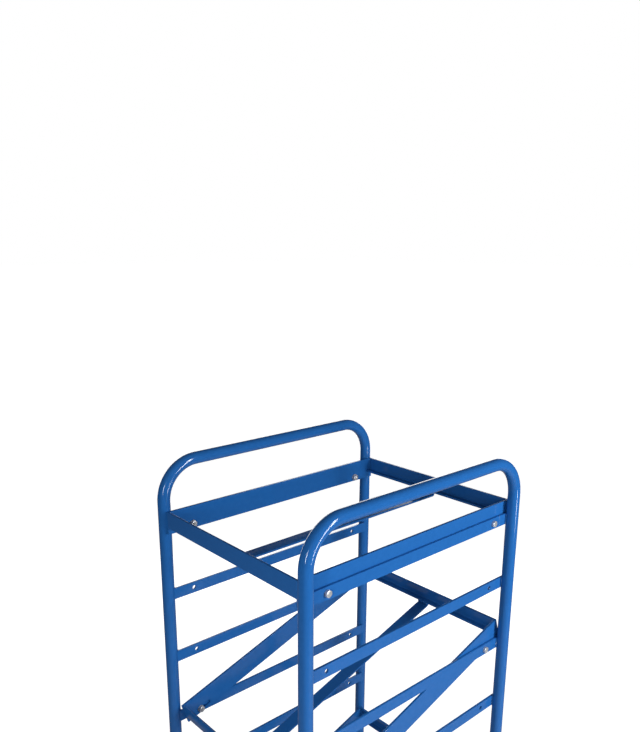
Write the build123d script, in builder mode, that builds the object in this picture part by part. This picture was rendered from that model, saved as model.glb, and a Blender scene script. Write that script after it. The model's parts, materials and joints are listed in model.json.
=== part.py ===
from build123d import *
import os
from math import atan2, cos, degrees, hypot, radians, sin

# Shelf trolley: two bent-tube hoops joined by tilting shelves, on a base frame with four swivel castors.
# Millimetres. X runs from the left hoop to the right, Y from the front to the back, Z up.
# The origin is on the floor under the middle of the trolley.

# Hoops, one bent tube on each side
trolley_height = 1500.0  # from the floor to the top of the handles
tube_od = 26.9
tube_wall = 2.0
hoop_spacing = 455.0  # between the planes of the hoops
post_spacing = 600.0  # between the posts of a hoop
bend_radius = 80.0  # of the tube's centre line

# Levels, each a pair of crossbars that can carry a shelf
level_count = 8
level_pitch = 152.0
top_level_drop = 138.55  # from the handle's centre line to the highest bolt line
crossbar_height = 25.0
crossbar_thick = 5.0
crossbar_end_inset = 6.0  # from a post's centre line to the bar's end
bolt_inset = 57.0  # from a post's centre line to its bolt line

# Shelves, each with the levels of its rear and front bolts, counted from the top
shelf_levels = [(1, 1), (3, 4), (6, 7)]
rail_height = 50.0
rail_thick = 5.0
rail_rise = 40.0  # from the bolt line to the rail's top
rail_overhang = 61.0  # past the bolt line, at each end
end_bar_height = 35.0
end_bar_thick = 5.0
strut_width = 30.0
strut_thick = 4.0
strut_upstand = 4.5  # from the strut's upper face to the end bars on its turned-up ends
strut_bend_radius = 1.0  # inside the bend

# Base frame of mitred angle
base_angle = 40.0
base_angle_thick = 4.0
base_root_radius = 5.0
base_bolt_rise = 24.0  # from the frame's underside
mount_plate_size = 110.0
mount_plate_thick = 5.0
mount_plate_corner = 14.0
plug_flange = 4.0
plug_spigot = 14.0

# Fasteners of shelves and base
bolt_d = 8.0
bolt_head_across = 13.0
bolt_head_height = 5.3
nut_height = 6.5
bolt_tail = 3.0  # past the nut

# Castors
wheel_d = 100.0
tyre_width = 30.0
tyre_depth = 8.0
tyre_shoulder = 4.0
rim_width = 26.0
rim_depth = 6.0
web_thick = 8.0
hub_d = 28.0
rib_count = 8
rib_thick = 3.0
rib_inset = 3.0  # from the rim's edge in to the ribs
axle_d = 10.0
axle_head_across = 16.0
axle_head_height = 6.0
castor_offset = 32.0  # from the swivel axis back to the axle
castor_leg_gap = 19.0  # from the angle's inner edge to the swivel axis
fork_side_gap = 4.0  # from the tyre to a leg
fork_thick = 3.0
fork_bend_radius = 2.0  # inside the bend from the crown to a leg
fork_boss_r = 14.0
fork_headroom = 17.0  # from the tyre's top to the crown
crown_length = 58.0
race_r = 23.0
race_height = 5.7
head_r = 30.0
head_thick = 4.0
head_skirt = 3.0  # depth of the skirt below the head's plate
head_skirt_thick = 2.5
castor_bolt_d = 12.0
castor_bolt_across = 18.0
castor_bolt_head = 7.5
castor_nut_height = 10.0

# Brake pedals
pedal_width = 30.0
pedal_reach = 50.0  # from the pivot to the tip
pedal_tip_r = 2.5
pedal_pivot_back = 14.0  # behind the axle
pedal_pivot_rise = 10.0  # above the tyre's top
pedal_hub_r = 6.5
pedal_slope = 9.0  # degrees above level
pedal_pin_d = 6.0
shoe_r = 2.0
shoe_angle = 70.0  # degrees round the tyre from the rear
shoe_clearance = 2.7

# Clearances
rail_gap = 0.5  # between a rail and the crossbars
pivot_clearance = 0.08  # round a shaft that something turns on
bolt_clearance = 0.5  # round a bolt in its hole
thread_clearance = 0.05  # round a thread, a pressed ring or a plug
weld_gap = 0.05  # between a coped bar and its tube
nut_gap = 0.2  # between a pivot nut and its rail
swivel_gap = 0.3  # between the faces of a swivel
hub_gap = 0.5  # at each side of a hub

# Places worked out from the sizes above
tube_r = tube_od / 2
wheel_r = wheel_d / 2
axle_r = axle_d / 2
bolt_r = bolt_d / 2
hoop_x = hoop_spacing / 2
post_y = post_spacing / 2
bolt_y = post_y - bolt_inset
bolt_span = 2 * bolt_y
crossbar_in = hoop_x - tube_r
crossbar_out = crossbar_in + crossbar_thick
rail_out = crossbar_in - rail_gap
rail_in = rail_out - rail_thick
shelf_length = bolt_span + 2 * rail_overhang
frame_y = shelf_length / 2

fork_inner = max(tyre_width, rim_width) / 2 + fork_side_gap
fork_outer = fork_inner + fork_thick
fork_reach = castor_offset + crown_length  # past every end of the fork
crown_z = wheel_d + fork_headroom
race_z = crown_z + fork_thick
head_z = race_z + race_height + swivel_gap
plate_z = head_z + head_thick
base_z = plate_z + mount_plate_thick
handle_z = trolley_height - tube_r
top_level = handle_z - top_level_drop
slot_travel = hypot(bolt_span, level_pitch) - bolt_span
castor_x = crossbar_in - base_angle - castor_leg_gap
castor_y = frame_y - base_angle - castor_leg_gap
pivot_grip = crossbar_thick + rail_gap + rail_thick + nut_gap + nut_height + bolt_tail
base_grip = crossbar_thick + base_angle_thick + nut_height + bolt_tail

sides = {"left": -1, "right": 1}
castors = {
    "front_left": (-1, -1, False),
    "rear_left": (-1, 1, False),
    "front_right": (1, -1, True),
    "rear_right": (1, 1, True),
}


def level_z(level):
    """Height of a level's bolt line, with level 1 at the top."""
    return top_level - (level - 1) * level_pitch


def bolt_plane(side, y, z):
    """Plane on a crossbar's outer face, facing away from the trolley."""
    return Plane(origin=(side * crossbar_out, y, z), x_dir=(0, 1, 0), z_dir=(side, 0, 0))


def shelf_plane(rear, front):
    """Plane of a shelf, with its origin on the rear bolt line and Y towards the back."""
    tilt = atan2((front - rear) * level_pitch, bolt_span)
    return Plane(origin=(0, bolt_y, level_z(rear)), x_dir=(1, 0, 0), z_dir=(0, -sin(tilt), cos(tilt)))


def upright(shelf, x, y=0.0, facing=1):
    """Plane across a shelf at x, with its own X along the shelf towards the back."""
    return Plane(origin=shelf.from_local_coords((x, y, 0)), x_dir=shelf.y_dir, z_dir=(facing, 0, 0))


def castor_plane(side_x, side_y):
    """Upright plane along a castor, with X towards the back of its wheel and Y up."""
    return Plane(origin=(side_x * castor_x, side_y * castor_y, 0), x_dir=(-1, 0, 0), z_dir=(0, 1, 0))


os.makedirs("parts", exist_ok=True)

# Hoops
for side_name, side in sides.items():
    with BuildPart() as hoop:
        with BuildLine(Plane(origin=(side * hoop_x, 0, 0), x_dir=(0, 1, 0), z_dir=(1, 0, 0))) as hoop_path:
            FilletPolyline(
                (-post_y, base_z), (-post_y, handle_z), (post_y, handle_z), (post_y, base_z), radius=bend_radius
            )
        with BuildSketch(Plane.XY.offset(base_z)):
            with Locations((side * hoop_x, -post_y)):
                Circle(tube_r)
                Circle(tube_r - tube_wall, mode=Mode.SUBTRACT)
        sweep(path=hoop_path.wires()[0])
    hoop.part.label = f"{side_name}_hoop"
    export_step(hoop.part, f"parts/{hoop.part.label}.step")

# Crossbars on every level, and the foot bars, coped to the posts
bar_length = post_spacing - 2 * crossbar_end_inset
post_length = handle_z - base_z
for side_name, side in sides.items():
    with BuildPart() as crossbars:
        for level in range(1, level_count + 1):
            with BuildSketch(bolt_plane(side, 0, level_z(level))):
                Rectangle(bar_length, crossbar_height)
                with Locations((-bolt_y, 0), (bolt_y, 0)):
                    Circle(bolt_r + bolt_clearance, mode=Mode.SUBTRACT)
            extrude(amount=-crossbar_thick)
        with Locations((side * hoop_x, -post_y, base_z), (side * hoop_x, post_y, base_z)):
            Cylinder(
                tube_r + weld_gap,
                post_length,
                align=(Align.CENTER, Align.CENTER, Align.MIN),
                mode=Mode.SUBTRACT,
            )
    crossbars.part.label = f"{side_name}_crossbars"
    export_step(crossbars.part, f"parts/{crossbars.part.label}.step")

    with BuildPart() as foot_bar:
        with BuildSketch(bolt_plane(side, 0, base_z + base_angle / 2)):
            Rectangle(bar_length, base_angle)
        extrude(amount=-crossbar_thick)
        with BuildSketch(bolt_plane(side, 0, base_z + base_bolt_rise)):
            with Locations((-bolt_y, 0), (bolt_y, 0)):
                Circle(bolt_r + bolt_clearance)
        extrude(amount=-crossbar_thick, mode=Mode.SUBTRACT)
        with Locations((side * hoop_x, -post_y, base_z), (side * hoop_x, post_y, base_z)):
            Cylinder(
                tube_r + weld_gap,
                base_angle,
                align=(Align.CENTER, Align.CENTER, Align.MIN),
                mode=Mode.SUBTRACT,
            )
    foot_bar.part.label = f"{side_name}_foot_bar"
    export_step(foot_bar.part, f"parts/{foot_bar.part.label}.step")

# Base frame: angle with the upright leg outside and the flat leg inside, mitred at the corners
base_rails = {
    "left_base_rail": ((-1, 0), crossbar_in, 2 * frame_y),
    "right_base_rail": ((1, 0), crossbar_in, 2 * frame_y),
    "front_base_rail": ((0, -1), frame_y, 2 * crossbar_in),
    "rear_base_rail": ((0, 1), frame_y, 2 * crossbar_in),
}
for rail_name, ((out_x, out_y), reach, length) in base_rails.items():
    outward = Vector(out_x, out_y, 0)
    along = Vector(0, 0, 1).cross(outward)
    corner = outward * reach + Vector(0, 0, base_z)
    with BuildPart() as base_rail:
        with BuildSketch(Plane(origin=corner, x_dir=-outward, z_dir=along)):
            with BuildLine():
                Polyline(
                    (0, 0),
                    (base_angle, 0),
                    (base_angle, base_angle_thick),
                    (base_angle_thick, base_angle_thick),
                    (base_angle_thick, base_angle),
                    (0, base_angle),
                    close=True,
                )
            make_face()
            root = vertices().sort_by_distance((base_angle_thick, base_angle_thick))[0]
            fillet(root, base_root_radius)
        extrude(amount=length / 2, both=True)
        for end in (-1, 1):
            mitre = Plane(origin=corner + along * (end * length / 2), z_dir=along * end - outward)
            split(bisect_by=mitre, keep=Keep.BOTTOM)
        if out_x:
            with BuildSketch(bolt_plane(out_x, 0, base_z + base_bolt_rise)):
                with Locations((-bolt_y, 0), (bolt_y, 0)):
                    Circle(bolt_r + bolt_clearance)
            extrude(amount=-crossbar_thick - base_angle_thick, mode=Mode.SUBTRACT)
    base_rail.part.label = rail_name
    export_step(base_rail.part, f"parts/{rail_name}.step")

# Castor mount plates under the corners of the base frame
plate_x = crossbar_in - mount_plate_size / 2
plate_y = frame_y - mount_plate_size / 2
with BuildPart() as mount_plates:
    with BuildSketch(Plane.XY.offset(plate_z)):
        with GridLocations(2 * plate_x, 2 * plate_y, 2, 2):
            RectangleRounded(mount_plate_size, mount_plate_size, mount_plate_corner)
        with GridLocations(2 * castor_x, 2 * castor_y, 2, 2):
            Circle(castor_bolt_d / 2 + bolt_clearance, mode=Mode.SUBTRACT)
    extrude(amount=mount_plate_thick)
mount_plates.part.label = "castor_mount_plates"
export_step(mount_plates.part, "parts/castor_mount_plates.step")

# Plugs in the lower ends of the posts
with BuildPart() as post_plugs:
    with BuildSketch(Plane.XY.offset(base_z)):
        with GridLocations(hoop_spacing, post_spacing, 2, 2):
            Circle(tube_r - pivot_clearance)
    extrude(amount=-plug_flange)
    with BuildSketch(Plane.XY.offset(base_z)):
        with GridLocations(hoop_spacing, post_spacing, 2, 2):
            Circle(tube_r - tube_wall - thread_clearance)
    extrude(amount=plug_spigot)
post_plugs.part.label = "post_plugs"
export_step(post_plugs.part, "parts/post_plugs.step")

# Bolts and nuts that hold the base frame to the foot bars
base_bolt_planes = [
    bolt_plane(side, y, base_z + base_bolt_rise) for side in sides.values() for y in (-bolt_y, bolt_y)
]
with BuildPart() as base_bolts:
    for plane in base_bolt_planes:
        with BuildSketch(plane):
            RegularPolygon(bolt_head_across / 2, 6, major_radius=False)
        extrude(amount=bolt_head_height)
        with BuildSketch(plane):
            Circle(bolt_r)
        extrude(amount=-base_grip)
base_bolts.part.label = "base_bolts"
export_step(base_bolts.part, "parts/base_bolts.step")

with BuildPart() as base_nuts:
    for plane in base_bolt_planes:
        with BuildSketch(plane.offset(-crossbar_thick - base_angle_thick)):
            RegularPolygon(bolt_head_across / 2, 6, major_radius=False)
            Circle(bolt_r + thread_clearance, mode=Mode.SUBTRACT)
        extrude(amount=-nut_height)
base_nuts.part.label = "base_nuts"
export_step(base_nuts.part, "parts/base_nuts.step")

# Pivot bolts and nuts at the rear of the shelves
pivot_planes = [
    bolt_plane(side, bolt_y, level_z(rear)) for side in sides.values() for rear, front in shelf_levels
]
with BuildPart() as pivot_bolts:
    for plane in pivot_planes:
        with BuildSketch(plane):
            RegularPolygon(bolt_head_across / 2, 6, major_radius=False)
        extrude(amount=bolt_head_height)
        with BuildSketch(plane):
            Circle(bolt_r)
        extrude(amount=-pivot_grip)
pivot_bolts.part.label = "pivot_bolts"
export_step(pivot_bolts.part, "parts/pivot_bolts.step")

with BuildPart() as pivot_nuts:
    for plane in pivot_planes:
        with BuildSketch(plane.offset(-crossbar_thick - rail_gap - rail_thick - nut_gap)):
            RegularPolygon(bolt_head_across / 2, 6, major_radius=False)
            Circle(bolt_r + thread_clearance, mode=Mode.SUBTRACT)
        extrude(amount=-nut_height)
pivot_nuts.part.label = "pivot_nuts"
export_step(pivot_nuts.part, "parts/pivot_nuts.step")

# Heads of the front bolts, each with the stretch of shank that lies in its crossbar
with BuildPart() as front_bolts:
    for side in sides.values():
        for rear, front in shelf_levels:
            plane = bolt_plane(side, -bolt_y, level_z(front))
            with BuildSketch(plane):
                RegularPolygon(bolt_head_across / 2, 6, major_radius=False)
            extrude(amount=bolt_head_height)
            with BuildSketch(plane):
                Circle(bolt_r)
            extrude(amount=-crossbar_thick)
front_bolts.part.label = "front_bolts"
export_step(front_bolts.part, "parts/front_bolts.step")

# Shelves
bar_bottom = rail_rise - end_bar_height
bar_middle = -bolt_span / 2
strut_length = shelf_length - 2 * (end_bar_thick - strut_thick)
for number, (rear, front) in enumerate(shelf_levels, start=1):
    shelf = shelf_plane(rear, front)
    shelf_name = f"shelf_{number}"

    # Side rails, with the pivot hole at the rear and the slot at the front
    for side_name, side in sides.items():
        with BuildPart() as rail:
            with BuildSketch(upright(shelf, side * rail_out)):
                with Locations((bar_middle, rail_rise - rail_height / 2)):
                    Rectangle(shelf_length, rail_height)
                Circle(bolt_r + pivot_clearance, mode=Mode.SUBTRACT)
                with Locations((-bolt_span - slot_travel / 2, 0)):
                    SlotCenterToCenter(slot_travel, bolt_d + 2 * bolt_clearance, mode=Mode.SUBTRACT)
            extrude(amount=-side * rail_thick)
        rail.part.label = f"{shelf_name}_{side_name}_rail"
        export_step(rail.part, f"parts/{rail.part.label}.step")

    # End bars between the rails, flush with their ends and tops
    for end_name, end_y in (("front", bar_middle - frame_y), ("rear", bar_middle + frame_y - end_bar_thick)):
        with BuildPart() as end_bar:
            with BuildSketch(upright(shelf, -rail_in, end_y)):
                with Locations((0, bar_bottom)):
                    Rectangle(end_bar_thick, end_bar_height, align=(Align.MIN, Align.MIN))
            extrude(amount=2 * rail_in)
        end_bar.part.label = f"{shelf_name}_{end_name}_bar"
        export_step(end_bar.part, f"parts/{end_bar.part.label}.step")

    # Middle strut, a flat bar whose ends turn up under the end bars, flush with their inner faces
    with BuildPart() as strut:
        with BuildSketch(upright(shelf, 0)):
            with Locations((bar_middle, bar_bottom)):
                Rectangle(strut_length, strut_upstand + strut_thick, align=(Align.CENTER, Align.MAX))
                Rectangle(
                    strut_length - 2 * strut_thick,
                    strut_upstand,
                    align=(Align.CENTER, Align.MAX),
                    mode=Mode.SUBTRACT,
                )
            fillet(vertices().group_by(Axis.Y)[1], strut_bend_radius)
            fillet(vertices().group_by(Axis.Y)[0], strut_bend_radius + strut_thick)
        extrude(amount=strut_width / 2, both=True)
    strut.part.label = f"{shelf_name}_strut"
    export_step(strut.part, f"parts/{strut.part.label}.step")

    # Front nuts, each with the end of its bolt's shank, in the slots of the rails
    nut_y = -hypot(bolt_span, (front - rear) * level_pitch)
    with BuildPart() as front_nuts:
        for side in sides.values():
            with BuildSketch(upright(shelf, side * rail_out, nut_y, -side)):
                Circle(bolt_r)
            extrude(amount=rail_thick + nut_height + bolt_tail)
            with BuildSketch(upright(shelf, side * rail_in, nut_y, -side)):
                RegularPolygon(bolt_head_across / 2, 6, major_radius=False)
            extrude(amount=nut_height)
    front_nuts.part.label = f"{shelf_name}_front_nuts"
    export_step(front_nuts.part, f"parts/{front_nuts.part.label}.step")

# Castor bolts, which are also the swivel pins, and their nuts on the mount plates
castor_spots = GridLocations(2 * castor_x, 2 * castor_y, 2, 2)
castor_bolt_top = base_z + castor_nut_height + bolt_tail
with BuildPart() as castor_bolts:
    with BuildSketch(Plane.XY.offset(crown_z - swivel_gap)):
        with castor_spots:
            RegularPolygon(castor_bolt_across / 2, 6, major_radius=False)
    extrude(amount=-castor_bolt_head)
    with BuildSketch(Plane.XY.offset(crown_z - swivel_gap)):
        with castor_spots:
            Circle(castor_bolt_d / 2)
    extrude(amount=castor_bolt_top - crown_z + swivel_gap)
castor_bolts.part.label = "castor_bolts"
export_step(castor_bolts.part, "parts/castor_bolts.step")

with BuildPart() as castor_nuts:
    with BuildSketch(Plane.XY.offset(base_z)):
        with castor_spots:
            RegularPolygon(castor_bolt_across / 2, 6, major_radius=False)
            Circle(castor_bolt_d / 2 + thread_clearance, mode=Mode.SUBTRACT)
    extrude(amount=castor_nut_height)
castor_nuts.part.label = "castor_nuts"
export_step(castor_nuts.part, "parts/castor_nuts.step")

# Castors
rim_r = wheel_r - tyre_depth
rim_in = rim_r - rim_depth
rib_middle = (hub_d / 2 + rim_in) / 2
rib_length = rim_in - hub_d / 2 + rib_thick  # into the hub and the rim by half its thickness
hub_half = fork_inner - hub_gap
pedal_pivot = (castor_offset + pedal_pivot_back, wheel_d + pedal_pivot_rise)
pedal_tip = (
    pedal_pivot[0] + pedal_reach * cos(radians(pedal_slope)),
    pedal_pivot[1] + pedal_reach * sin(radians(pedal_slope)),
)
shoe_reach = wheel_r + shoe_clearance + shoe_r
shoe_spot = (
    castor_offset + shoe_reach * cos(radians(shoe_angle)),
    wheel_r + shoe_reach * sin(radians(shoe_angle)),
)
pedal_middle = ((pedal_pivot[0] + pedal_tip[0]) / 2, (pedal_pivot[1] + pedal_tip[1]) / 2)
shoe_middle = ((pedal_pivot[0] + shoe_spot[0]) / 2, (pedal_pivot[1] + shoe_spot[1]) / 2)
for corner_name, (side_x, side_y, braked) in castors.items():
    castor_name = f"{corner_name}_castor"
    middle = castor_plane(side_x, side_y)
    swivel = Plane(origin=middle.origin)

    # Swivel head, a plate with a short skirt round the race
    with BuildPart() as head:
        with BuildSketch(swivel.offset(plate_z)):
            Circle(head_r)
            Circle(castor_bolt_d / 2 + thread_clearance, mode=Mode.SUBTRACT)
        extrude(amount=-head_thick)
        with BuildSketch(swivel.offset(head_z)):
            Circle(head_r)
            Circle(head_r - head_skirt_thick, mode=Mode.SUBTRACT)
        extrude(amount=-head_skirt)
    head.part.label = f"{castor_name}_head"
    export_step(head.part, f"parts/{head.part.label}.step")

    # Fork, bent up from plate and cut to the outline of its legs, with the race on its crown
    across = Plane(origin=middle.origin, x_dir=(0, 1, 0), z_dir=(1, 0, 0))
    with BuildPart() as fork:
        with BuildSketch(across):
            Rectangle(2 * fork_outer, race_z, align=(Align.CENTER, Align.MIN))
            fillet(vertices().group_by(Axis.Y)[-1], fork_bend_radius + fork_thick)
        extrude(amount=fork_reach, both=True)
        with BuildSketch(across):
            Rectangle(2 * fork_inner, crown_z, align=(Align.CENTER, Align.MIN))
            fillet(vertices().group_by(Axis.Y)[-1], fork_bend_radius)
        extrude(amount=fork_reach, both=True, mode=Mode.SUBTRACT)
        with BuildSketch(middle):
            with Locations((0, crown_z)):
                Rectangle(crown_length, fork_thick, align=(Align.CENTER, Align.MIN))
            with Locations((castor_offset, wheel_r)):
                Circle(fork_boss_r)
            if braked:
                with Locations(pedal_pivot):
                    Circle(pedal_hub_r)
            make_hull()
            with Locations((castor_offset, wheel_r)):
                Circle(axle_r + thread_clearance, mode=Mode.SUBTRACT)
            if braked:
                with Locations(pedal_pivot):
                    Circle(pedal_pin_d / 2 + pivot_clearance, mode=Mode.SUBTRACT)
        extrude(amount=fork_outer, both=True, mode=Mode.INTERSECT)
        with BuildSketch(swivel.offset(race_z)):
            Circle(race_r)
        extrude(amount=race_height)
        with BuildSketch(swivel.offset(crown_z)):
            Circle(castor_bolt_d / 2 + pivot_clearance)
        extrude(amount=fork_thick + race_height, mode=Mode.SUBTRACT)
    fork.part.label = f"{castor_name}_fork"
    export_step(fork.part, f"parts/{fork.part.label}.step")

    # Axle, a bolt across the fork with its nut
    with BuildPart() as axle:
        with BuildSketch(middle):
            with Locations((castor_offset, wheel_r)):
                Circle(axle_r)
        extrude(amount=fork_outer, both=True)
        with BuildSketch(middle.offset(fork_outer)):
            with Locations((castor_offset, wheel_r)):
                RegularPolygon(axle_head_across / 2, 6, major_radius=False)
        extrude(amount=axle_head_height)
        mirror(about=middle)
    axle.part.label = f"{castor_name}_axle"
    export_step(axle.part, f"parts/{axle.part.label}.step")

    # Wheel: hub, web and rim, turned about the axle, with ribs from the hub to the rim on both faces
    hub_centre = middle.from_local_coords((castor_offset, wheel_r, 0))
    spin = Axis(hub_centre, (0, 1, 0))
    section = Plane(origin=hub_centre, x_dir=(0, 1, 0), z_dir=(1, 0, 0))
    with BuildPart() as wheel:
        with BuildSketch(section):
            Rectangle(2 * hub_half, hub_d / 2, align=(Align.CENTER, Align.MIN))
            Rectangle(web_thick, rim_r, align=(Align.CENTER, Align.MIN))
            with Locations((0, rim_r)):
                Rectangle(rim_width, rim_depth, align=(Align.CENTER, Align.MAX))
            Rectangle(
                2 * hub_half, axle_r + pivot_clearance, align=(Align.CENTER, Align.MIN), mode=Mode.SUBTRACT
            )
        revolve(axis=spin)
        with BuildSketch(middle):
            with Locations((castor_offset, wheel_r)):
                with PolarLocations(rib_middle, rib_count):
                    Rectangle(rib_length, rib_thick)
        extrude(amount=rim_width / 2 - rib_inset, both=True)
    wheel.part.label = f"{castor_name}_wheel"
    export_step(wheel.part, f"parts/{wheel.part.label}.step")

    # Tyre round the rim
    with BuildPart() as tyre:
        with BuildSketch(section):
            with Locations((0, rim_r + thread_clearance)):
                Rectangle(tyre_width, tyre_depth - thread_clearance, align=(Align.CENTER, Align.MIN))
            chamfer(vertices().group_by(Axis.Y)[-1], tyre_shoulder)
        revolve(axis=spin)
    tyre.part.label = f"{castor_name}_tyre"
    export_step(tyre.part, f"parts/{tyre.part.label}.step")

    # Brake pedal with its shoe and pin
    if braked:
        with BuildPart() as pedal:
            with BuildSketch(middle):
                with Locations(pedal_pivot):
                    Circle(pedal_hub_r)
                SlotCenterPoint(pedal_middle, pedal_tip, 2 * pedal_tip_r)
                SlotCenterPoint(shoe_middle, shoe_spot, 2 * shoe_r)
            extrude(amount=pedal_width / 2, both=True)
            with BuildSketch(middle):
                with Locations(pedal_pivot):
                    Circle(pedal_pin_d / 2)
            extrude(amount=fork_outer, both=True)
        pedal.part.label = f"{castor_name}_brake_pedal"
        export_step(pedal.part, f"parts/{pedal.part.label}.step")

tilt_range = degrees(atan2(level_pitch, bolt_span))
print(f"lowest level {level_z(level_count):.2f}, tilt {tilt_range:.3f} degrees, slot travel {slot_travel:.3f}")
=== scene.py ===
"""Dresses the shelf trolley: finishes, smooth tubes, shelf bars, weld beads, fasteners and tyres, and
then the floor, the lights and the camera."""
import json
import math

import bpy
import numpy as np
from mathutils import Matrix, Vector


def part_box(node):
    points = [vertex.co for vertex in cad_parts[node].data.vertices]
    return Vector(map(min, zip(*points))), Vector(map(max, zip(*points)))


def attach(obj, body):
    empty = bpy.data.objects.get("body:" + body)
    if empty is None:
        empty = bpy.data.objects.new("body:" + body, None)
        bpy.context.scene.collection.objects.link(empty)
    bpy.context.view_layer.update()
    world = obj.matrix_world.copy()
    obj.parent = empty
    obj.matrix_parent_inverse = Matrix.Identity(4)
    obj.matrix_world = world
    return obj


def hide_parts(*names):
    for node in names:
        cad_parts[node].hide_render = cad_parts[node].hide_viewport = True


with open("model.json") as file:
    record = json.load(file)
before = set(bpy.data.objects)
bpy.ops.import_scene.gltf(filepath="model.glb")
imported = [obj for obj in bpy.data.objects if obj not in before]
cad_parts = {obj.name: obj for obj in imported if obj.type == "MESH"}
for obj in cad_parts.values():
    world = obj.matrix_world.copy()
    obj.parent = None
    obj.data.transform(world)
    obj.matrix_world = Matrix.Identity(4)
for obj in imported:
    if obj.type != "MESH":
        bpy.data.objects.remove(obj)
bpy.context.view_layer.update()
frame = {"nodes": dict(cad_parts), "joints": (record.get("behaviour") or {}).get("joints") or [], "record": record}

# Camera that sees the trolley from the photograph's place, in metres, degrees, millimetres and pixels
camera_place = Vector((1.0568, -1.0159, 1.9331))
camera_azimuth = 48.027
camera_elevation = 14.627
camera_roll = 0.300
camera_shift_up = 0.09
camera_reach = 100.0
sensor_width = 36.0
focal_pixels = 725.04
image_height = 732

# Tubes, bars and base: sizes that the frame doesn't give, in metres
tube_wall = 0.002
bend_radius = 0.080
level_count = 8
crossbar_height = 0.025
ledge_width = 0.012
ledge_root_radius = 0.003
strut_thick = 0.004
strut_bend_radius = 0.001
strut_set_back = 0.002
base_angle = 0.040
base_angle_thick = 0.004
base_root_radius = 0.005
mount_plate_size = 0.110

# Bolts, nuts and washers, in metres, degrees and shares of their widths
bolt_radius = 0.004
bolt_head_across = 0.013
bolt_head_height = 0.0053
bolt_tail = 0.003
nut_height = 0.0065
nut_bore_share = 0.97
pivot_nut_gap = 0.0002
pivot_bolt_depth = 0.011
thread_pitch = 0.00125
thread_depth = 0.0006
thread_tip = 0.0006
washer_radius = 0.008
washer_thick = 0.0012
washer_bore_share = 1.08
washer_edge_share = 0.25
hexagon_top_share = 0.96
hexagon_cone_angle = 30.0
bore_lip_share = 1.06
bore_lip_depth_share = 0.08
dish_share = 0.30
dish_depth_share = 0.055

# Castors, in metres and shares of their widths
castor_bolt_radius = 0.006
castor_bolt_across = 0.018
castor_bolt_head = 0.0075
castor_thread_pitch = 0.00175
castor_washer_radius = 0.0115
castor_washer_thick = 0.002
castor_washer_bore_share = 1.05
castor_nut_bore_share = 0.98
axle_radius = 0.005
axle_across = 0.016
axle_collar_share = 0.42
axle_collar_height = 0.0018
axle_end = 0.0012
axle_thread_pitch = 0.0015
shank_steps = 40
head_rim = 0.002
head_chamfer = 0.0006
head_skirt = 0.003
head_skirt_thick = 0.0025
tyre_shoulder = 0.0045
tyre_crown = 0.0004
tyre_lip = 0.001

# Brake pedals, in metres and degrees
pedal_slope = 9.0
pedal_tip_radius = 0.0025
pad_start = 0.016
pad_end = 0.047
pad_width = 0.026
pad_thick = 0.0012
pad_ridges = 6
pad_ridge_height = 0.0012

# Weld beads, in metres and shares of their radius or pitch
bead_radius = 0.0022
bead_pitch = 0.0024
bead_swell_share = 0.12
bead_lean_share = 0.3
bead_tip_share = 0.03
bead_sunk = 0.35 * bead_radius
post_bead_offset = 1.2 * bead_radius

# Edges, in metres and degrees
bar_edge = 0.0006
casting_edge = 0.0004
edge_facets = 2
edge_angle = 40.0
flat_angle = 1.0
sharp_angle = 35.0
merge_distance = 0.00001

# Floor and sky, in metres, with brightness from 0 to 1
floor_reach = 60.0
floor_grey = 0.35
floor_roughness = 0.95
floor_shine = 0.1
glow_near = 0.78
glow_far = 1.0
glow_near_distance = 0.5
glow_far_distance = 2.5
sky_seen = 1.0
sky_light = 0.04
white = (1, 1, 1, 1)

# Places read from the frame
tube_low, tube_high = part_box("right_hoop")
tube_radius = (tube_high.x - tube_low.x) / 2
hoop_x = (tube_high.x + tube_low.x) / 2
post_y = tube_high.y - tube_radius
handle_z = tube_high.z - tube_radius
foot_z = tube_low.z
bar_low, bar_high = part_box("right_crossbars")
crossbar_in = bar_low.x
crossbar_out = bar_high.x
rail_low, rail_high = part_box("shelf_1_right_rail")
rail_in = rail_low.x
rail_out = rail_high.x
level_pitch = (bar_high.z - bar_low.z - crossbar_height) / (level_count - 1)
top_level = bar_high.z - crossbar_height / 2
base_low, base_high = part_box("right_base_rail")
base_z = base_low.z
base_top = base_high.z
base_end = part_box("rear_base_rail")[1].y
joints = {joint["name"]: joint for joint in frame["joints"]}
_, bolt_y, level_z = joints["shelf_1_tilt"]["pos_m"]
node_slots = {part["node"]: part["material_slot"] for part in frame["record"]["subparts"]}
shelf_numbers = (1, 2, 3)
sides = (-1, 1)
side_names = ("left", "right")
castor_names = ("front_left_castor", "rear_left_castor", "front_right_castor", "rear_right_castor")
braked_castors = ("front_right_castor", "rear_right_castor")
rightward = np.array([1.0, 0.0, 0.0])
rearward = np.array([0.0, 1.0, 0.0])
replaced_nodes = set()


def shell(rings, closed=False):
    """Vertices and faces of a stack of closed rings: quads join each ring to the next, and the two
    ends are capped, or the last ring joins the first where closed is true. Where the volume inside
    comes out below zero, the faces are turned round."""
    count, steps = rings.shape[:2]
    index = np.arange(count * steps).reshape(count, steps)
    lower = index if closed else index[:-1]
    upper = np.roll(index, -1, 0) if closed else index[1:]
    quads = np.stack([lower, np.roll(lower, -1, 1), np.roll(upper, -1, 1), upper], -1).reshape(-1, 4)
    faces = quads.tolist()
    if not closed:
        faces += [index[0, ::-1].tolist(), index[-1].tolist()]
    points = rings.reshape(-1, 3)
    corners = points[quads] - points.mean(0)
    volume = np.einsum("ij,ij->", corners[:, 0], np.cross(corners[:, 1], corners[:, 2]))
    volume += np.einsum("ij,ij->", corners[:, 0], np.cross(corners[:, 2], corners[:, 3]))
    if volume < 0:
        faces = [face[::-1] for face in faces]
    return points, faces


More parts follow.
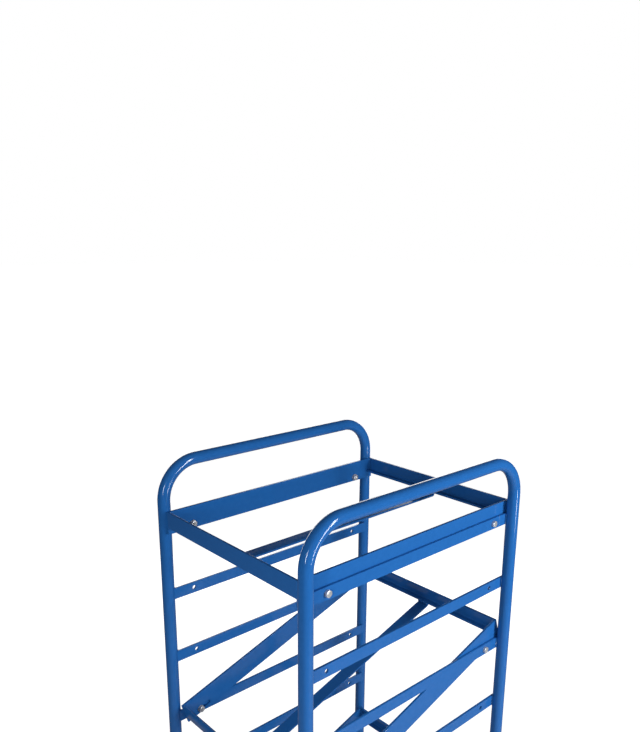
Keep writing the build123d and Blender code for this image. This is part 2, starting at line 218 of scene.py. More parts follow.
def joined(shells):
    """One list of vertices and one of faces from several shells, each shell's faces counted on from
    the vertices of the shells before it."""
    points = np.concatenate([shell_points for shell_points, _ in shells])
    faces = []
    start = 0
    for shell_points, shell_faces in shells:
        faces += [[corner + start for corner in face] for face in shell_faces]
        start += len(shell_points)
    return points, faces


def piece(name, shells, material, body, replaces=(), flat=False):
    """A new piece of the trolley, with flat faces or else shaded smooth up to the sharp angle."""
    points, faces = joined(shells)
    mesh = bpy.data.meshes.new(name)
    mesh.from_pydata(points.tolist(), [], faces)
    if not flat:
        mesh.shade_smooth()
        mesh.set_sharp_from_angle(angle=math.radians(sharp_angle))
    mesh.materials.append(material)
    obj = bpy.data.objects.new(name, mesh)
    bpy.context.scene.collection.objects.link(obj)
    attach(obj, body)
    if replaces:
        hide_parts(*replaces)
        replaced_nodes.update(replaces)


def axes_along(direction, hint=(0, 0, 1)):
    """Three unit axes as rows, the third along the direction and the first square to the hint."""
    third = np.array(direction, float)
    third /= np.linalg.norm(third)
    first = np.cross(np.array(hint, float), third)
    first /= np.linalg.norm(first)
    return np.stack([first, np.cross(third, first), third])


def placed(rings, origin, axes):
    """Rings moved from their own axes to a place in the trolley's frame."""
    return rings @ axes + np.array(origin, float)


def circle(steps):
    """Angles of even steps once round a circle."""
    return np.linspace(0, 2 * np.pi, steps, endpoint=False)


def quarter(steps):
    """Angles of even steps along a quarter circle, with both its ends."""
    return np.linspace(0, np.pi / 2, steps)


def turned(profile, steps=64):
    """Rings of a profile of (radius, height) pairs turned about its own third axis."""
    angle = circle(steps)
    radius, height = np.array(profile, float).T
    return np.stack(
        [
            radius[:, None] * np.cos(angle),
            radius[:, None] * np.sin(angle),
            np.broadcast_to(height[:, None], (len(radius), steps)),
        ],
        -1,
    )


def hexagon_radius(across, angle):
    """Distance from the middle of a hexagon to its edge: half its width over the cosine of the angle
    from the middle of the nearest side."""
    sixth = np.pi / 3
    return across / 2 / np.cos((angle + sixth / 2) % sixth - sixth / 2)


def hexagon(across, height, bore=0.0, steps=72):
    """Hexagon prism whose corners are cut by a cone at its top. With a bore it is a nut: its corners
    are cut at the bottom too, and its rings run back down the bore and close on themselves. Without
    one it is a bolt head, with a shallow round dish pressed in its top."""
    angle = circle(steps)
    edge = hexagon_radius(across, angle)
    crown = np.full(steps, across / 2 * hexagon_top_share)
    drop = np.maximum(edge - crown, 0) * math.tan(math.radians(hexagon_cone_angle))
    bottom = np.zeros(steps)
    top = np.full(steps, height)
    if bore:
        wall = np.full(steps, bore)
        lip = wall * bore_lip_share
        lip_depth = bore * bore_lip_depth_share
        rows = [(crown, bottom), (edge, drop), (edge, top - drop), (crown, top)]
        rows += [(lip, top), (wall, top - lip_depth), (wall, bottom + lip_depth), (lip, bottom)]
    else:
        brim = np.full(steps, across * dish_share)
        dish = across * dish_depth_share
        rows = [(edge, bottom), (edge, top - drop), (crown, top), (brim, top), (brim - dish, top - dish)]
    rings = np.array([[radius * np.cos(angle), radius * np.sin(angle), z] for radius, z in rows])
    return rings.transpose(0, 2, 1)


def threaded_rod(radius, pitch, length, rows_per_pitch=8, steps=32):
    """Rod whose radius falls by the thread's depth along a triangle wave that climbs one pitch each
    turn, with a small cone at its end."""
    rows = int(length / pitch * rows_per_pitch) + 2
    height = np.linspace(0, length, rows)[:, None]
    angle = circle(steps)[None, :]
    wave = np.abs((height / pitch - angle / (2 * np.pi)) % 1 - 0.5) * 2
    shrink = np.clip((height - (length - thread_tip)) / thread_tip, 0, 1) * thread_depth
    spread = radius - thread_depth * wave - shrink
    tall = np.broadcast_to(height, spread.shape)
    return np.stack([spread * np.cos(angle), spread * np.sin(angle), tall], -1)


def washer(radius, bore, thick, steps=48):
    """Flat ring turned about its bore, with a small chamfer on its outer edge."""
    edge = thick * washer_edge_share
    lower_half = [(bore, 0), (radius - edge, 0), (radius, edge)]
    upper_half = [(radius, thick - edge), (radius - edge, thick), (bore, thick)]
    return turned(lower_half + upper_half, steps)


def weld_bead(start, end, rows_per_pitch=5, end_rows=8, steps=12):
    """Weld bead along a straight line: circles whose radius swells and falls along a cosine once each
    pitch and shrinks along a quarter circle at both ends, each circle leaning forward on one side."""
    start = np.array(start, float)
    run = np.array(end, float) - start
    length = np.linalg.norm(run)
    travel = np.linspace(0, length, int(length / bead_pitch * rows_per_pitch) + end_rows)
    tip = np.clip(np.minimum(travel, length - travel) / bead_radius, bead_tip_share, 1)
    wave = 1 + bead_swell_share * np.cos(2 * np.pi * travel / bead_pitch)
    swell = (bead_radius * wave * np.sqrt(1 - (1 - tip) ** 2))[:, None]
    angle = circle(steps)
    lean = bead_lean_share * bead_pitch * tip[:, None] * np.cos(angle)
    rings = np.stack([swell * np.cos(angle), swell * np.sin(angle), travel[:, None] + lean], -1)
    steep = abs(run[2]) > length / 2
    return shell(placed(rings, start, axes_along(run, (1, 0, 0) if steep else (0, 0, 1))))


def rounded_outline(corners, radii, steps=5):
    """Closed outline whose square corners are quarter circles: each leaves one side at its radius
    before the corner and joins the next at its radius after it, about a centre on the diagonal."""
    corners = np.array(corners, float)
    back = np.roll(corners, 1, 0) - corners
    ahead = np.roll(corners, -1, 0) - corners
    back = (back / np.linalg.norm(back, axis=1, keepdims=True))[:, None, :]
    ahead = (ahead / np.linalg.norm(ahead, axis=1, keepdims=True))[:, None, :]
    turn = quarter(steps)[None, :, None]
    radii = np.array(radii, float)[:, None, None]
    bends = radii * (back * (1 - np.sin(turn)) + ahead * (1 - np.cos(turn)))
    return (corners[:, None, :] + bends).reshape(-1, 2)


def drawn_in(corners, margin):
    """Outline of square corners, run anticlockwise, with every side moved inwards by the margin."""
    corners = np.array(corners, float)
    side = np.roll(corners, -1, 0) - corners
    side /= np.linalg.norm(side, axis=1, keepdims=True)
    inward = np.stack([-side[:, 1], side[:, 0]], 1)
    return corners + margin * (inward + np.roll(inward, 1, 0))


def crosswise_bar(corners, radii, half_length, origin, first, second):
    """Bar of a rounded outline carried straight across the trolley, drawn in by the bar's edge at
    both ends. The outline's two numbers run from the origin along the first and second directions."""
    full = rounded_outline(corners, radii)
    end = rounded_outline(drawn_in(corners, bar_edge), radii)
    outlines = np.stack([end, full, full, end])
    reach = np.array([-half_length, bar_edge - half_length, half_length - bar_edge, half_length])
    across = reach[:, None, None] * rightward
    return shell(origin + outlines[..., :1] * first + outlines[..., 1:] * second + across)


def hoop_path(x, bend_steps=48):
    """Centre line of a hoop: up the front post, a quarter turn, along the handle, a quarter turn,
    down the rear post. Returns its points and the direction at each."""
    turn = quarter(bend_steps)
    bend_y = -post_y + bend_radius - bend_radius * np.cos(turn)
    bend_z = handle_z - bend_radius + bend_radius * np.sin(turn)
    front = np.stack([bend_y, bend_z], 1)
    rear = front[::-1] * (-1, 1)
    flow = np.stack([np.sin(turn), np.cos(turn)], 1)
    rear_flow = flow[::-1] * (1, -1)
    line = np.concatenate([[(-post_y, foot_z)], front, rear, [(post_y, foot_z)]])
    ahead = np.concatenate([[(0, 1)], flow, rear_flow, [(0, -1)]])
    side = np.full((len(line), 1), x)
    return np.hstack([side, line]), np.hstack([np.zeros((len(line), 1)), ahead])


def hoop_rings(x, steps=72):
    """Tube wall of a hoop: circles square to the centre line, out along it at the outer radius and
    back along it at the inner radius."""
    line, ahead = hoop_path(x)
    inward = np.cross(ahead, rightward)
    angle = circle(steps)[None, :, None]
    rim = np.cos(angle) * rightward + np.sin(angle) * inward[:, None, :]
    outer = line[:, None, :] + tube_radius * rim
    inner = line[:, None, :] + (tube_radius - tube_wall) * rim
    return np.concatenate([outer, inner[::-1]])


def bolt_head(origin, direction):
    """Hexagon head standing on a face."""
    return shell(placed(hexagon(bolt_head_across, bolt_head_height), origin, axes_along(direction)))


def nut_stack(origin, direction, depth):
    """Washer and nut on a face, with the bolt's threaded end through them from that depth behind it."""
    axes = axes_along(direction)
    seat = np.array(origin, float)
    out = axes[2]
    ring = washer(washer_radius, bolt_radius * washer_bore_share, washer_thick)
    nut = hexagon(bolt_head_across, nut_height - washer_thick, bolt_radius * nut_bore_share)
    rod = threaded_rod(bolt_radius, thread_pitch, depth + nut_height + bolt_tail)
    return [
        shell(placed(ring, seat, axes), closed=True),
        shell(placed(nut, seat + out * washer_thick, axes), closed=True),
        shell(placed(rod, seat - out * depth, axes)),
    ]


def head_rings(radius, height, bore, rim_steps=7, steps=72):
    """Swivel head turned about its pin, from its top: a flat plate, a rim along a quarter circle, a
    skirt with a small chamfer and the hollow inside the skirt."""
    turn = quarter(rim_steps)
    rim_radius = radius - head_rim + head_rim * np.sin(turn)
    rim_height = height - head_rim + head_rim * np.cos(turn)
    inside = radius - head_skirt_thick
    skirt_radius = [radius, radius - head_chamfer, inside, inside, bore]
    skirt_height = [head_chamfer, 0, 0, head_skirt, head_skirt]
    profile_radius = np.concatenate([[bore], rim_radius, skirt_radius])
    profile_height = np.concatenate([[height], rim_height, skirt_height])
    return turned(np.stack([profile_radius, profile_height], 1), steps)


def tyre_rings(half_width, inner, outer, shoulder_steps=9, tread_steps=13, steps=112):
    """Tyre turned about its axle: straight sides, shoulders along a quarter circle, and a tread that
    falls from its middle to the shoulders along a parabola."""
    turn = quarter(shoulder_steps)
    tread_half = half_width - tyre_shoulder
    side_width = tread_half + tyre_shoulder * np.cos(turn)
    side_radius = outer - tyre_crown - tyre_shoulder + tyre_shoulder * np.sin(turn)
    tread_width = np.linspace(tread_half, -tread_half, tread_steps)[1:-1]
    tread_radius = outer - tyre_crown * (tread_width / tread_half) ** 2
    lip_width = np.array([half_width - tyre_lip, half_width])
    lip_radius = np.array([inner, inner + tyre_lip])
    width = [lip_width, side_width, tread_width, -side_width[::-1], -lip_width[::-1]]
    radius = [lip_radius, side_radius, tread_radius, side_radius[::-1], lip_radius[::-1]]
    return turned(np.stack([np.concatenate(radius), np.concatenate(width)], 1), steps)


def pedal_pad(steps=121):
    """Ridged pad along a pedal: a closed profile with a flat underside and a top that rises and falls
    along a cosine, once for each ridge, drawn across the pedal with its two edges drawn in."""
    share = np.linspace(0, 1, steps)
    place = pad_start + (pad_end - pad_start) * share
    base = np.full(steps, pedal_tip_radius - pad_thick / 4)
    ridge = (1 - np.cos(2 * np.pi * pad_ridges * share)) / 2
    top = pedal_tip_radius + pad_thick + pad_ridge_height * ridge
    edge = pad_thick / 2
    reach = np.array([-pad_width / 2, edge - pad_width / 2, pad_width / 2 - edge, pad_width / 2])[:, None]
    drop = np.array([edge, 0, 0, edge])[:, None]
    along = np.broadcast_to(np.concatenate([place, place[::-1]]), (len(reach), 2 * steps))
    height = np.hstack([np.broadcast_to(base, (len(reach), steps)), (top - drop)[:, ::-1]])
    return np.stack([along, np.broadcast_to(reach, along.shape), height], -1)


def shader_node(nodes, kind, *values):
    """A shader node of that kind with its named inputs set."""
    node = nodes.new(kind)
    for key, value in values:
        node.inputs[key].default_value = value
    return node


def finish_base(name):
    """A new node material: its tree's nodes, links, shader and Object coordinates."""
    material = bpy.data.materials.new(name)
    material.use_nodes = True
    nodes = material.node_tree.nodes
    links = material.node_tree.links
    shader = nodes["Principled BSDF"]
    coordinates = nodes.new("ShaderNodeTexCoord")
    return material, nodes, links, shader, coordinates.outputs["Object"]


def noise(nodes, links, place, scale, detail):
    """Noise of that scale, in repeats per metre, on the given coordinates."""
    texture = shader_node(nodes, "ShaderNodeTexNoise", ("Scale", scale), ("Detail", detail))
    links.new(place, texture.inputs["Vector"])
    return texture.outputs["Fac"]


def blend_colours(nodes, links, factor, dark, light, low=0.3, high=0.7):
    """Colours from dark to light as the factor goes from low to high."""
    ramp = nodes.new("ShaderNodeValToRGB")
    ramp.color_ramp.elements[0].position = low
    ramp.color_ramp.elements[0].color = (*dark, 1)
    ramp.color_ramp.elements[1].position = high
    ramp.color_ramp.elements[1].color = (*light, 1)
    links.new(factor, ramp.inputs["Fac"])
    return ramp.outputs["Color"]


def value_range(nodes, links, factor, low, high):
    """The factor, from 0 to 1, spread over the range from low to high."""
    spread = shader_node(nodes, "ShaderNodeMapRange", ("To Min", low), ("To Max", high))
    links.new(factor, spread.inputs["Value"])
    return spread.outputs["Result"]


def bump(nodes, links, shader, height, strength, distance):
    """Bump of the shader's normal from a height, its distance in metres."""
    relief = shader_node(nodes, "ShaderNodeBump", ("Strength", strength), ("Distance", distance))
    links.new(height, relief.inputs["Height"])
    links.new(relief.outputs["Normal"], shader.inputs["Normal"])


def powder_coat(name, dark, light, smooth, rough):
    """Gloss powder coat: a faint mottle in the colour, orange peel in the surface, uneven gloss."""
    material, nodes, links, shader, place = finish_base(name)
    mottle = noise(nodes, links, place, scale=90.0, detail=4.0)
    links.new(blend_colours(nodes, links, mottle, dark, light), shader.inputs["Base Color"])
    peel = noise(nodes, links, place, scale=620.0, detail=2.0)
    bump(nodes, links, shader, peel, strength=0.004, distance=0.0003)
    links.new(value_range(nodes, links, mottle, smooth, rough), shader.inputs["Roughness"])
    return material


def zinc_plate(name, dark, light, smooth, rough, metal, scale):
    """Zinc-plated steel: a cloudy tint, fine scratches, uneven gloss and a share of bare metal's shine."""
    material, nodes, links, shader, place = finish_base(name)
    cloud = noise(nodes, links, place, scale, detail=5.0)
    links.new(blend_colours(nodes, links, cloud, dark, light), shader.inputs["Base Color"])
    links.new(value_range(nodes, links, cloud, smooth, rough), shader.inputs["Roughness"])
    scratches = noise(nodes, links, place, scale=18 * scale, detail=2.0)
    bump(nodes, links, shader, scratches, strength=0.08, distance=0.0002)
    shader.inputs["Metallic"].default_value = metal
    return material


def moulded(name, dark, light, smooth, rough, grain_scale, grain_depth):
    """Moulded plastic or rubber: a mottled colour, a fine grain and uneven gloss."""
    material, nodes, links, shader, place = finish_base(name)
    mottle = noise(nodes, links, place, scale=55.0, detail=4.0)
    links.new(blend_colours(nodes, links, mottle, dark, light), shader.inputs["Base Color"])
    grain = noise(nodes, links, place, grain_scale, detail=3.0)
    bump(nodes, links, shader, grain, strength=0.25, distance=grain_depth)
    links.new(value_range(nodes, links, mottle, smooth, rough), shader.inputs["Roughness"])
    return material


def softbox(name, place, target, width, height, power, mirrored=True):
    """Rectangular area light at a place, facing the target and not seen itself. Where mirrored is
    false it lights surfaces without showing as a reflection in them."""
    light = bpy.data.lights.new(name, "AREA")
    light.shape = "RECTANGLE"
    light.size = width
    light.size_y = height
    light.energy = power
    obj = bpy.data.objects.new(name, light)
    obj.visible_camera = False
    obj.visible_glossy = mirrored
    obj.location = place
    obj.rotation_euler = (Vector(target) - Vector(place)).to_track_quat("-Z", "Y").to_euler()
    bpy.context.scene.collection.objects.link(obj)


# Finishes, on every node of the frame
blue = powder_coat(
    "blue_powder_coat", dark=(0.0150, 0.117, 0.383), light=(0.0170, 0.125, 0.402), smooth=0.07, rough=0.11
)
zinc = zinc_plate(
    "bright_zinc", dark=(0.52, 0.53, 0.55), light=(0.70, 0.70, 0.71),
    smooth=0.24, rough=0.38, metal=0.58, scale=120.0,
)
castor_steel = zinc_plate(
    "pressed_steel_zinc", dark=(0.52, 0.53, 0.55), light=(0.72, 0.73, 0.74),
    smooth=0.30, rough=0.46, metal=0.8, scale=60.0,
)
black_steel = moulded(
    "black_coated_steel", dark=(0.012, 0.012, 0.014), light=(0.024, 0.024, 0.026),
    smooth=0.36, rough=0.48, grain_scale=700.0, grain_depth=0.0003,
)
nylon = moulded(
    "moulded_nylon", dark=(0.030, 0.031, 0.034), light=(0.050, 0.051, 0.055),
    smooth=0.42, rough=0.54, grain_scale=900.0, grain_depth=0.0002,
)
grey_rubber = moulded(
    "grey_rubber", dark=(0.115, 0.117, 0.120), light=(0.165, 0.167, 0.170),
    smooth=0.62, rough=0.74, grain_scale=500.0, grain_depth=0.0004,
)
plug_plastic = moulded(
    "plug_plastic", dark=(0.012, 0.012, 0.013), light=(0.022, 0.022, 0.023),
    smooth=0.44, rough=0.56, grain_scale=800.0, grain_depth=0.0002,
)
finishes = {
    "blue_coat": blue,
    "zinc": zinc,
    "castor_steel": castor_steel,
    "pedal_steel": black_steel,
    "wheel_plastic": nylon,
    "grey_tyre": grey_rubber,
    "black_plastic": plug_plastic,
}
for node_name, node_object in frame["nodes"].items():
    node_object.data.materials.clear()
    node_object.data.materials.append(finishes[node_slots[node_name]])

# Hoops
for side_name, side in zip(side_names, sides):
    tube = shell(hoop_rings(side * hoop_x), closed=True)
    piece(f"{side_name}_hoop_tube", [tube], blue, "root", (f"{side_name}_hoop",))

# Pivot bolts and front bolts of the shelves
pivot_heads = []
pivot_nuts = []
front_heads = []
for number in shelf_numbers:
    _, pivot_y, pivot_z = joints[f"shelf_{number}_tilt"]["pos_m"]
    nut_low, nut_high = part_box(f"shelf_{number}_front_nuts")
    front_y = (nut_low.y + nut_high.y) / 2
    front_z = (nut_low.z + nut_high.z) / 2
    front_nuts = []
    for side in sides:
        outward = (side, 0, 0)
        inward = (-side, 0, 0)
        pivot_heads.append(bolt_head((side * crossbar_out, pivot_y, pivot_z), outward))
        pivot_seat = (side * (rail_in - pivot_nut_gap), pivot_y, pivot_z)
        pivot_nuts += nut_stack(pivot_seat, inward, pivot_bolt_depth)
        front_heads.append(bolt_head((side * crossbar_out, front_y, front_z), outward))
        front_nuts += nut_stack((side * rail_in, front_y, front_z), inward, rail_out - rail_in)
    piece(
        f"shelf_{number}_front_fastenings", front_nuts, zinc, f"shelf_{number}_nuts",
        (f"shelf_{number}_front_nuts",),
    )
piece("pivot_bolt_heads", pivot_heads, zinc, "root", ("pivot_bolts",))
piece("pivot_nut_stacks", pivot_nuts, zinc, "root", ("pivot_nuts",))
piece("front_bolt_heads", front_heads, zinc, "root", ("front_bolts",))

# Bolts and nuts that hold the base frame to the foot bars
nut_low, nut_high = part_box("base_nuts")
base_bolt_z = (nut_low.z + nut_high.z) / 2
base_heads = []
base_nuts = []
for side in sides:
    for y in (-bolt_y, bolt_y):
        base_heads.append(bolt_head((side * crossbar_out, y, base_bolt_z), (side, 0, 0)))
        base_nuts += nut_stack((side * nut_high.x, y, base_bolt_z), (-side, 0, 0), base_angle_thick)
piece("base_bolt_heads", base_heads, zinc, "root", ("base_bolts",))
piece("base_nut_stacks", base_nuts, zinc, "root", ("base_nuts",))

# Weld beads in the corners between the bars and the outer sides of the posts
corner_y = post_y - math.sqrt(tube_radius**2 - (hoop_x - crossbar_out) ** 2)
half_way = Vector((1, 0)) + Vector((crossbar_out - hoop_x, corner_y - post_y)) / tube_radius
bead_x, bead_y = Vector((crossbar_out, corner_y)) + half_way.normalized() * post_bead_offset
bar_spans = [(base_z, base_top)]
for level in range(level_count):
    bar_middle = top_level - level * level_pitch
    bar_spans.append((bar_middle - crossbar_height / 2, bar_middle + crossbar_height / 2))
for side_name, side in zip(side_names, sides):
    beads = [
        weld_bead((side * bead_x, y, low), (side * bead_x, y, high))
        for y in (-bead_y, bead_y)
        for low, high in bar_spans
    ]
    piece(f"{side_name}_hoop_welds", beads, blue, "root")

# Outlines of the shelves' end bars, which have a ledge along their foot, and of the strut under the ledges
front_bar_low, front_bar_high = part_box("shelf_1_front_bar")
rear_bar_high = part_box("shelf_1_rear_bar")[1]
strut_low, strut_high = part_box("shelf_1_strut")
bar_bottom = front_bar_low.z - level_z
bar_height = front_bar_high.z - front_bar_low.z
bar_thick = front_bar_high.y - front_bar_low.y
ledge_depth = bar_thick + ledge_width
ledge_corners = [
    (0, 0),
    (ledge_depth, 0),
    (ledge_depth, bar_thick),
    (bar_thick, bar_thick),
    (bar_thick, bar_height),
    (0, bar_height),
]
ledge_radii = [bar_edge, bar_edge, bar_edge, ledge_root_radius, bar_edge, bar_edge]
strut_half = strut_high.x
strut_foot = strut_low.z - strut_high.z
strut_top = strut_foot + strut_thick
strut_inner = (rear_bar_high.y - front_bar_low.y) / 2 - ledge_depth + strut_set_back
strut_outer = strut_inner + strut_thick
strut_corners = [
    (-strut_outer, 0),
    (-strut_outer, strut_foot),
    (strut_outer, strut_foot),
    (strut_outer, 0),
    (strut_inner, 0),
    (strut_inner, strut_top),
    (-strut_inner, strut_top),
    (-strut_inner, 0),
]
strut_bend = strut_bend_radius + strut_thick
outer_radii = [casting_edge, strut_bend, strut_bend, casting_edge]
inner_radii = [casting_edge, strut_bend_radius, strut_bend_radius, casting_edge]
strut_radii = outer_radii + inner_radii

# End bars and struts, with weld beads upright in the bars' inner corners and across the strut's ends
for number in shelf_numbers:
    shelf = f"shelf_{number}"
    pivot = np.array(joints[f"{shelf}_tilt"]["pos_m"])
    along = -np.array(joints[f"{shelf}_nut_slide"]["axis"], float)
    upward = np.cross(rightward, along)
    foot = pivot + bar_bottom * upward
    beads = []
    for end_name, outer_y, inward in (("front", front_bar_low.y, 1), ("rear", rear_bar_high.y, -1)):
        outer = foot + (outer_y - bolt_y) * along
        inside = inward * along
        bar = crosswise_bar(ledge_corners, ledge_radii, rail_in, outer, inside, upward)
        piece(
            f"{shelf}_{end_name}_ledge_bar", [bar], blue, shelf,
            (f"{shelf}_{end_name}_bar",), flat=True,
        )
        for side in sides:
            corner = outer + side * (rail_in - bead_sunk) * rightward + (bar_thick + bead_sunk) * inside
            bead_top = corner + (bar_height - bead_radius) * upward
            beads.append(weld_bead(corner + bar_thick * upward, bead_top))
        seam = outer + (ledge_depth - strut_set_back + bead_sunk) * inside - bead_sunk * upward
        beads.append(weld_bead(seam - strut_half * rightward, seam + strut_half * rightward))
    middle = foot + ((front_bar_low.y + rear_bar_high.y) / 2 - bolt_y) * along
    strut = crosswise_bar(strut_corners, strut_radii, strut_half, middle, along, upward)
    piece(f"{shelf}_bent_strut", [strut], blue, shelf, (f"{shelf}_strut",), flat=True)
    piece(f"{shelf}_welds", beads, blue, shelf)

# Weld beads of the base frame: up and across the mitres, and along the flat legs on the castor plates
leg_top = base_z + base_angle_thick
upright_x = crossbar_in - base_angle_thick
upright_y = base_end - base_angle_thick
leg_x = crossbar_in - base_angle
leg_y = base_end - base_angle
plate_x = crossbar_in - mount_plate_size
plate_y = base_end - mount_plate_size
upright_start = leg_top + base_root_radius / 2
upright_end = base_top - bead_radius
across_z = leg_top - bead_sunk
beside_z = base_z + bead_sunk
beads = []
for side in sides:
    for end in sides:
        inside = (side * (upright_x - bead_sunk), end * (upright_y - bead_sunk))
        beads.append(weld_bead((*inside, upright_start), (*inside, upright_end)))
        root = (side * (upright_x - base_root_radius), end * (upright_y - base_root_radius), across_z)
        beads.append(weld_bead(root, (side * leg_x, end * leg_y, across_z)))
        beside_x = side * (leg_x - bead_sunk)
        beside_y = end * (leg_y - bead_sunk)
        meeting = (beside_x, beside_y, beside_z)
        beads.append(weld_bead((beside_x, end * (plate_y + bead_radius), beside_z), meeting))
        beads.append(weld_bead((side * (plate_x + bead_radius), beside_y, beside_z), meeting))
piece("base_frame_welds", beads, blue, "root")

# Castor pins, which are bolts, with washers and nuts on the mount plates
pin_low, pin_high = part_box("castor_bolts")
pin_nut_low, pin_nut_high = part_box("castor_nuts")
pin_seat = pin_low.z + castor_bolt_head
pin_nut_z = pin_nut_low.z + castor_washer_thick
upward_axes = axes_along((0, 0, 1), (1, 0, 0))
downward_axes = axes_along((0, 0, -1), (1, 0, 0))
pin_head = hexagon(castor_bolt_across, castor_bolt_head)
pin_shank = turned([(castor_bolt_radius, pin_seat), (castor_bolt_radius, pin_nut_low.z)], shank_steps)
pin_thread = threaded_rod(castor_bolt_radius, castor_thread_pitch, pin_high.z - pin_nut_low.z)
pin_washer_bore = castor_bolt_radius * castor_washer_bore_share
pin_washer = washer(castor_washer_radius, pin_washer_bore, castor_washer_thick)
pin_nut_bore = castor_bolt_radius * castor_nut_bore_share
pin_nut = hexagon(castor_bolt_across, pin_nut_high.z - pin_nut_z, pin_nut_bore)
pins = []
pin_nuts = []
for castor in castor_names:
    pin_x, pin_y, _ = joints[f"{castor}_swivel_turn"]["pos_m"]
    pins.append(shell(placed(pin_head, (pin_x, pin_y, pin_seat), downward_axes)))
    pins.append(shell(placed(pin_shank, (pin_x, pin_y, 0), upward_axes)))
    pins.append(shell(placed(pin_thread, (pin_x, pin_y, pin_nut_low.z), upward_axes)))
    pin_nuts.append(shell(placed(pin_washer, (pin_x, pin_y, pin_nut_low.z), upward_axes), closed=True))
    pin_nuts.append(shell(placed(pin_nut, (pin_x, pin_y, pin_nut_z), upward_axes), closed=True))
piece("castor_pins", pins, zinc, "root", ("castor_bolts",))
piece("castor_pin_nuts", pin_nuts, zinc, "root", ("castor_nuts",))

# Castor heads, axles and tyres
rearward_axes = axes_along(rearward)
frontward_axes = axes_along(-rearward)
axle_bore = axle_radius * castor_nut_bore_share
for castor in castor_names:
    pin_x, pin_y, _ = joints[f"{castor}_swivel_turn"]["pos_m"]
    head_low, head_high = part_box(f"{castor}_head")
    head = head_rings((head_high.x - head_low.x) / 2, head_high.z - head_low.z, castor_bolt_radius)
    head = shell(placed(head, (pin_x, pin_y, head_low.z), upward_axes), closed=True)
    piece(f"{castor}_swivel_head", [head], castor_steel, "root", (f"{castor}_head",))

    hub = np.array(joints[f"{castor}_wheel_spin"]["pos_m"])
    fork_low, fork_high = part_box(f"{castor}_fork")
    fork_half = (fork_high.y - fork_low.y) / 2
    head_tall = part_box(f"{castor}_axle")[1].y - fork_high.y
    nut_tall = head_tall - axle_collar_height
    rear_leg = hub + fork_half * rearward
    front_leg = hub - fork_half * rearward
    shank = turned([(axle_radius, 0), (axle_radius, 2 * fork_half)], shank_steps)
    nut = hexagon(axle_across, nut_tall, axle_bore)
    collar = washer(axle_across * axle_collar_share, axle_bore, axle_collar_height)
    tail = threaded_rod(axle_radius, axle_thread_pitch, head_tall + axle_end)
    axle = [
        shell(placed(shank, front_leg, rearward_axes)),
        shell(placed(hexagon(axle_across, head_tall), rear_leg, rearward_axes)),
        shell(placed(nut, front_leg, frontward_axes), closed=True),
        shell(placed(collar, front_leg - nut_tall * rearward, frontward_axes), closed=True),
        shell(placed(tail, front_leg, frontward_axes)),
    ]
    piece(f"{castor}_axle_bolt", axle, zinc, f"{castor}_swivel", (f"{castor}_axle",))

    tyre_low, tyre_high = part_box(f"{castor}_tyre")
    wheel_low, wheel_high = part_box(f"{castor}_wheel")
    wheel_radius = (wheel_high.z - wheel_low.z) / 2
    tyre = tyre_rings((tyre_high.y - tyre_low.y) / 2, wheel_radius, (tyre_high.z - tyre_low.z) / 2)
    tyre = shell(placed(tyre, hub, rearward_axes), closed=True)
    piece(
        f"{castor}_round_tyre", [tyre], grey_rubber, f"{castor}_roller",
        (f"{castor}_tyre",),
    )

# Ridged pads on the brake pedals
slope_cos = math.cos(math.radians(pedal_slope))
slope_sin = math.sin(math.radians(pedal_slope))
pedal_axes = np.array([[-slope_cos, 0, slope_sin], [0, 1, 0], [slope_sin, 0, slope_cos]])
for castor in braked_castors:
    pad = placed(pedal_pad(), joints[f"{castor}_brake_press"]["pos_m"], pedal_axes)
    piece(f"{castor}_pedal_pad", [shell(pad)], plug_plastic, f"{castor}_brake")

# Eased edges on the bars, plates and castings that stay as they are; flat bars get plain faces first
for node_name, node_object in frame["nodes"].items():
    if node_name in replaced_nodes:
        continue
    flat_bar = node_slots[node_name] == "blue_coat"
    corners = node_object.modifiers.new("joined_corners", "WELD")
    corners.merge_threshold = merge_distance
    if flat_bar:
        plain = node_object.modifiers.new("plain_faces", "DECIMATE")
        plain.decimate_type = "DISSOLVE"
        plain.angle_limit = math.radians(flat_angle)
    eased = node_object.modifiers.new("eased_edges", "BEVEL")
    eased.width = bar_edge if flat_bar else casting_edge
    eased.segments = edge_facets
    eased.limit_method = "ANGLE"
    eased.angle_limit = math.radians(edge_angle)
    eased.loop_slide = False

# Floor: pale and matt, with a glow for the camera alone that is fainter where the trolley's shadow lies
floor_mesh = bpy.data.meshes.new("floor")
floor_corners = floor_reach * np.array([(-1, -1, 0), (1, -1, 0), (1, 1, 0), (-1, 1, 0)])
floor_mesh.from_pydata(floor_corners.tolist(), [], [(0, 1, 2, 3)])
floor = bpy.data.objects.new("floor", floor_mesh)
bpy.context.scene.collection.objects.link(floor)
floor_finish, floor_nodes, floor_links, floor_shader, floor_place = finish_base("pale_floor")
floor_shader.inputs["Base Color"].default_value = (floor_grey, floor_grey, floor_grey, 1)
floor_shader.inputs["Roughness"].default_value = floor_roughness
floor_shader.inputs["Specular IOR Level"].default_value = floor_shine
floor_shader.inputs["Emission Color"].default_value = white
floor_ray = floor_nodes.new("ShaderNodeLightPath")
floor_distance = floor_nodes.new("ShaderNodeVectorMath")
floor_distance.operation = "LENGTH"
floor_links.new(floor_place, floor_distance.inputs[0])
floor_glow = shader_node(
    floor_nodes, "ShaderNodeMapRange",
    ("From Min", glow_near_distance), ("From Max", glow_far_distance),
    ("To Min", glow_near), ("To Max", glow_far),
)
floor_links.new(floor_distance.outputs["Value"], floor_glow.inputs["Value"])
floor_seen = floor_nodes.new("ShaderNodeMath")
floor_seen.operation = "MULTIPLY"
floor_links.new(floor_ray.outputs["Is Camera Ray"], floor_seen.inputs[0])
floor_links.new(floor_glow.outputs["Result"], floor_seen.inputs[1])
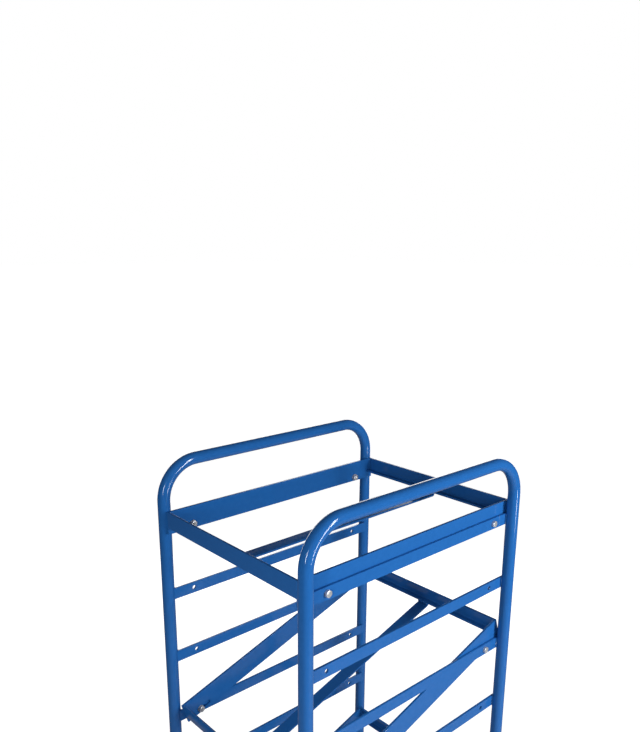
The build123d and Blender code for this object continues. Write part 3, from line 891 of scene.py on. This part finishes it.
floor_links.new(floor_seen.outputs["Value"], floor_shader.inputs["Emission Strength"])
floor_mesh.materials.append(floor_finish)

# Studio lights: places and sizes in metres, power in watts
softbox(
    "right_softbox", place=(1.52, 0.45, 1.6), target=(0, 0, 1.0),
    width=0.5, height=1.1, power=12, mirrored=False,
)
softbox("right_lamp", place=(2.28, 0.74, 1.5), target=(0, 0, 1.2), width=0.26, height=2.1, power=38)
softbox("front_lamp", place=(1.1, -2.3, 1.8), target=(0, 0, 1.2), width=0.18, height=0.9, power=17)
softbox(
    "camera_fill", place=(0.95, -1.25, 1.45), target=(0, 0, 1.0),
    width=0.7, height=1.2, power=5.5, mirrored=False,
)
softbox(
    "front_softbox", place=(-0.2, -1.0, 1.1), target=(0, 0, 1.0),
    width=0.8, height=2.0, power=0.7, mirrored=False,
)
softbox("backdrop_light", place=(-2.1, 1.9, 1.3), target=(0, 0, 0.9), width=4.0, height=2.0, power=62)

# Sky: white where the camera sees it, and dim as a light
scene = bpy.context.scene
world = bpy.data.worlds.new("studio")
scene.world = world
world.use_nodes = True
sky_nodes = world.node_tree.nodes
sky_links = world.node_tree.links
dim_sky = sky_nodes["Background"]
dim_sky.inputs["Color"].default_value = white
dim_sky.inputs["Strength"].default_value = sky_light
white_sky = shader_node(sky_nodes, "ShaderNodeBackground", ("Color", white), ("Strength", sky_seen))
sky_mix = sky_nodes.new("ShaderNodeMixShader")
sky_ray = sky_nodes.new("ShaderNodeLightPath")
sky_links.new(sky_ray.outputs["Is Camera Ray"], sky_mix.inputs["Fac"])
sky_links.new(dim_sky.outputs["Background"], sky_mix.inputs[1])
sky_links.new(white_sky.outputs["Background"], sky_mix.inputs[2])
sky_links.new(sky_mix.outputs["Shader"], sky_nodes["World Output"].inputs["Surface"])
scene.view_settings.view_transform = "Standard"

# Camera
camera_data = bpy.data.cameras.new("photo_camera")
camera_data.sensor_width = sensor_width
camera_data.lens = focal_pixels * sensor_width / image_height
camera_data.shift_y = camera_shift_up
camera_data.clip_end = camera_reach
camera = bpy.data.objects.new("photo_camera", camera_data)
scene.collection.objects.link(camera)
azimuth = math.radians(camera_azimuth)
elevation = math.radians(camera_elevation)
level_back = Vector((math.sin(azimuth), -math.cos(azimuth), 0))
level_right = Vector((math.cos(azimuth), math.sin(azimuth), 0))
back = level_back * math.cos(elevation) + Vector((0, 0, math.sin(elevation)))
roll = Matrix.Rotation(math.radians(camera_roll), 3, back)
right = roll @ level_right
up = roll @ back.cross(level_right)
camera.matrix_world = Matrix.Translation(camera_place) @ Matrix((right, up, back)).transposed().to_4x4()
scene.camera = camera
